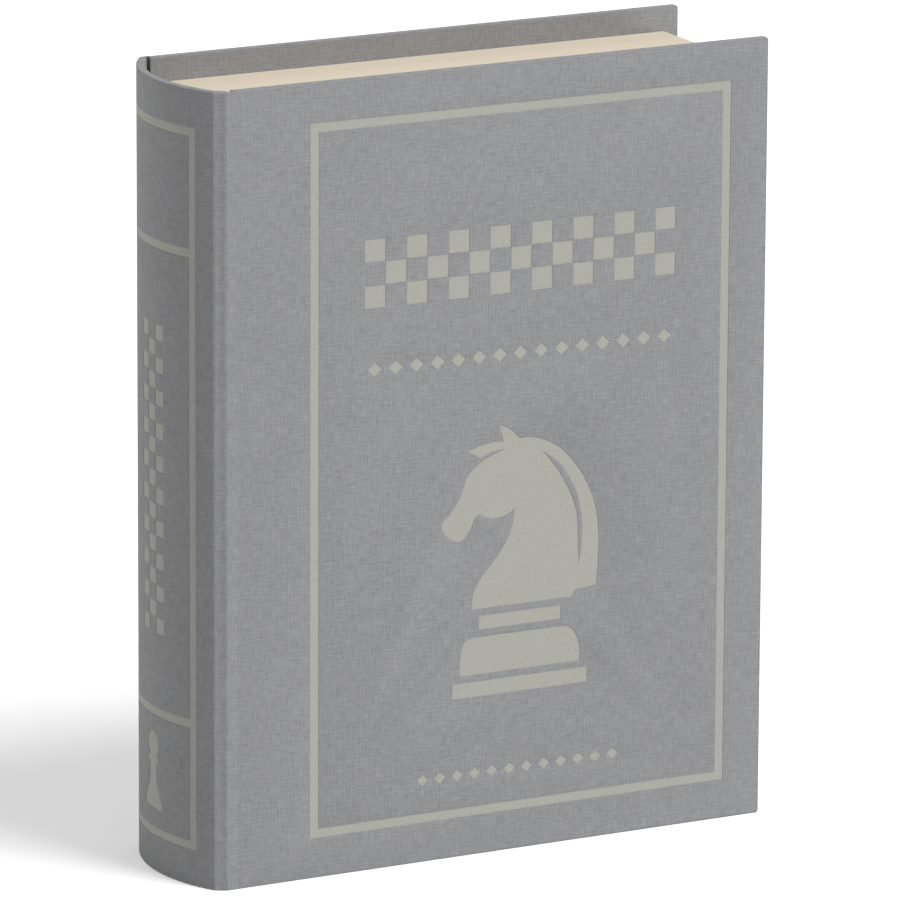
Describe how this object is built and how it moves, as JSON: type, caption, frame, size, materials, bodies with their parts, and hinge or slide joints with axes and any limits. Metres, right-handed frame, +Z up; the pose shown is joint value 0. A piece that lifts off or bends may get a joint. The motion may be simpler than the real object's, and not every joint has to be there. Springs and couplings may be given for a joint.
{
  "type": "book-form chess set box",
  "caption": "Cloth-bound book-form box with a rounded spine and hinged cover, holding a folding chess board and turned men on shelves.",
  "frame": {"origin": "on the shelf under the middle of the closed book", "axes": "+X from the rounded spine to the fore-edge, +Y from the front cover to the back cover, +Z up"},
  "size_m": [0.222, 0.067, 0.28],
  "materials": {
    "book_cloth": "grey linen book cloth, fine uneven weave, stamped with pale ornament",
    "grey_board": "solid grey board, cut edges",
    "lining_paper": "matt grey lining paper",
    "page_paper": "cream paper printed like cut page edges",
    "tray_board": "board covered with matt grey paper",
    "shelf_board": "board covered with matt grey paper",
    "rack_foam": "closed-cell foam, fine cells",
    "bed_foam": "closed-cell foam, fine cells",
    "plated_steel": "nickel plated",
    "panel_board": "solid grey board",
    "playing_face": "matt printed squares in two tones with a plain border",
    "panel_cloth": "grey linen book cloth",
    "felt": "pressed wool felt",
    "light_wood": "turned maple, satin lacquer",
    "dark_wood": "turned wood stained dark, satin lacquer"
  },
  "bodies": {
    "case": {"back_cover_board": "grey_board", "back_cover_cloth": "book_cloth", "back_lining_paper": "lining_paper", "dark_bishops": "dark_wood", "dark_king": "dark_wood", "dark_knights": "dark_wood", "dark_men_felts": "felt", "dark_officer_bed": "bed_foam", "dark_officer_rack": "rack_foam", "dark_pawn_bed": "bed_foam", "dark_pawn_rack": "rack_foam", "dark_pawns": "dark_wood", "dark_queen": "dark_wood", "dark_rooks": "dark_wood", "fore_edge_page_paper": "page_paper", "fore_edge_wall": "tray_board", "head_page_paper": "page_paper", "head_wall": "tray_board", "light_bishops": "light_wood", "light_king": "light_wood", "light_knights": "light_wood", "light_men_felts": "felt", "light_officer_bed": "bed_foam", "light_officer_rack": "rack_foam", "light_pawn_bed": "bed_foam", "light_pawn_rack": "rack_foam", "light_pawns": "light_wood", "light_queen": "light_wood", "light_rooks": "light_wood", "shelf_1": "shelf_board", "shelf_2": "shelf_board", "shelf_3": "shelf_board", "spine_board": "grey_board", "spine_cloth": "book_cloth", "spine_lining_paper": "lining_paper", "spine_side_wall": "tray_board", "tail_page_paper": "page_paper", "tail_wall": "tray_board", "tray_floor": "tray_board", "tray_magnets": "plated_steel"},
    "front_cover": {"front_cover_board": "grey_board", "front_cover_cloth": "book_cloth", "front_lining_paper": "lining_paper", "cover_plates": "plated_steel"},
    "board_base": {"base_fold_tape": "panel_cloth", "base_panel_back": "panel_cloth", "base_panel_core": "panel_board", "base_panel_face": "playing_face"},
    "board_leaf": {"leaf_fold_tape": "panel_cloth", "leaf_panel_back": "panel_cloth", "leaf_panel_core": "panel_board", "leaf_panel_face": "playing_face"}
  },
  "joints": [
    {"name": "cover_hinge", "type": "hinge", "parent": "case", "child": "front_cover", "pos_m": [-0.09826, -0.03365, 0.14], "axis": [0, 0, -1], "range_deg": [0, 180]},
    {"name": "board_lift", "type": "slide", "parent": "case", "child": "board_base", "axis": [0, -1, 0], "range_m": [0, 0.01681]},
    {"name": "board_fold", "type": "hinge", "parent": "board_base", "child": "board_leaf", "pos_m": [-0.09001, -0.0251, 0.14], "axis": [0, 0, -1], "range_deg": [0, 180]}
  ],
  "couplings": [
    {"joint": "board_lift", "follows": "cover_hinge", "m_per_rad": 0.0053476},
    {"joint": "board_fold", "follows": "cover_hinge", "ratio": 1}
  ]
}
